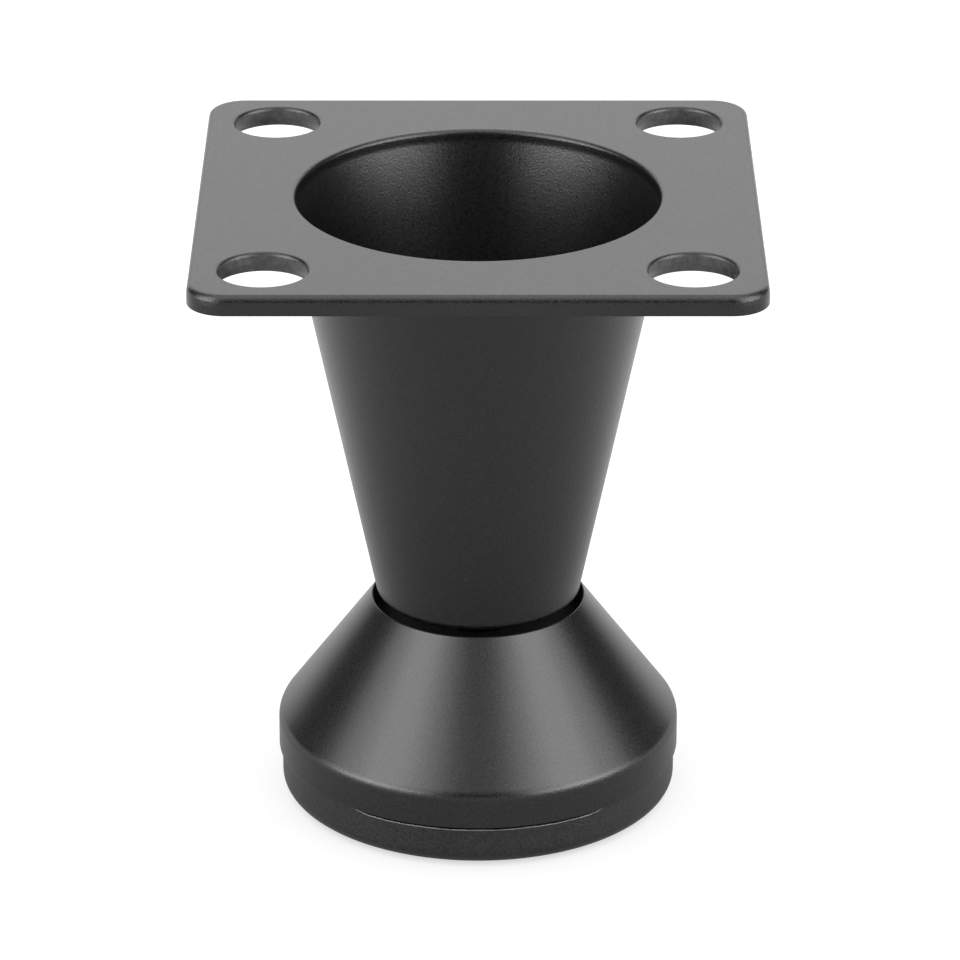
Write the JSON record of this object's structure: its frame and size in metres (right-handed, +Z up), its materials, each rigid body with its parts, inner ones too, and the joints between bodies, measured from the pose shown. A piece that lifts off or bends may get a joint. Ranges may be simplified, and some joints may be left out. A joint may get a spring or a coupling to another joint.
{
  "type": "furniture leg",
  "caption": "Short tapered metal furniture leg on a square plate with corner holes, standing on a conical screw-adjusted foot with a flat glide.",
  "frame": {"origin": "centre of the glide's lower face, where the leg meets the floor", "axes": "+Z up along the leg's axis, out of the plate's upper face; X and Y along the plate's edges"},
  "size_m": [0.06, 0.06, 0.0699],
  "materials": {
    "black_powder_coat": "fine textured matt black powder coat on steel",
    "blackened_steel": "black oxide on steel, slightly oily",
    "satin_black_plastic": "satin black, smooth",
    "matt_black_rubber": "matt black rubber with a fine grain"
  },
  "bodies": {
    "fixed_leg": {"mounting_plate": "black_powder_coat", "leg_cone": "black_powder_coat", "weld_nut": "black_powder_coat"},
    "standing_glide": {"glide": "matt_black_rubber"},
    "turning_foot": {"foot_cone": "satin_black_plastic", "adjusting_screw": "blackened_steel"}
  },
  "joints": [
    {"name": "height_adjust", "type": "slide", "parent": "fixed_leg", "child": "standing_glide", "axis": [0, 0, -1], "range_m": [-0.00125, 0.0125]},
    {"name": "foot_turn", "type": "hinge", "parent": "standing_glide", "child": "turning_foot", "pos_m": [0, 0, 0.01], "axis": [0, 0, -1], "range_deg": [-360, 3600]}
  ],
  "couplings": [
    {"joint": "height_adjust", "follows": "foot_turn", "m_per_rad": 0.00019894}
  ]
}
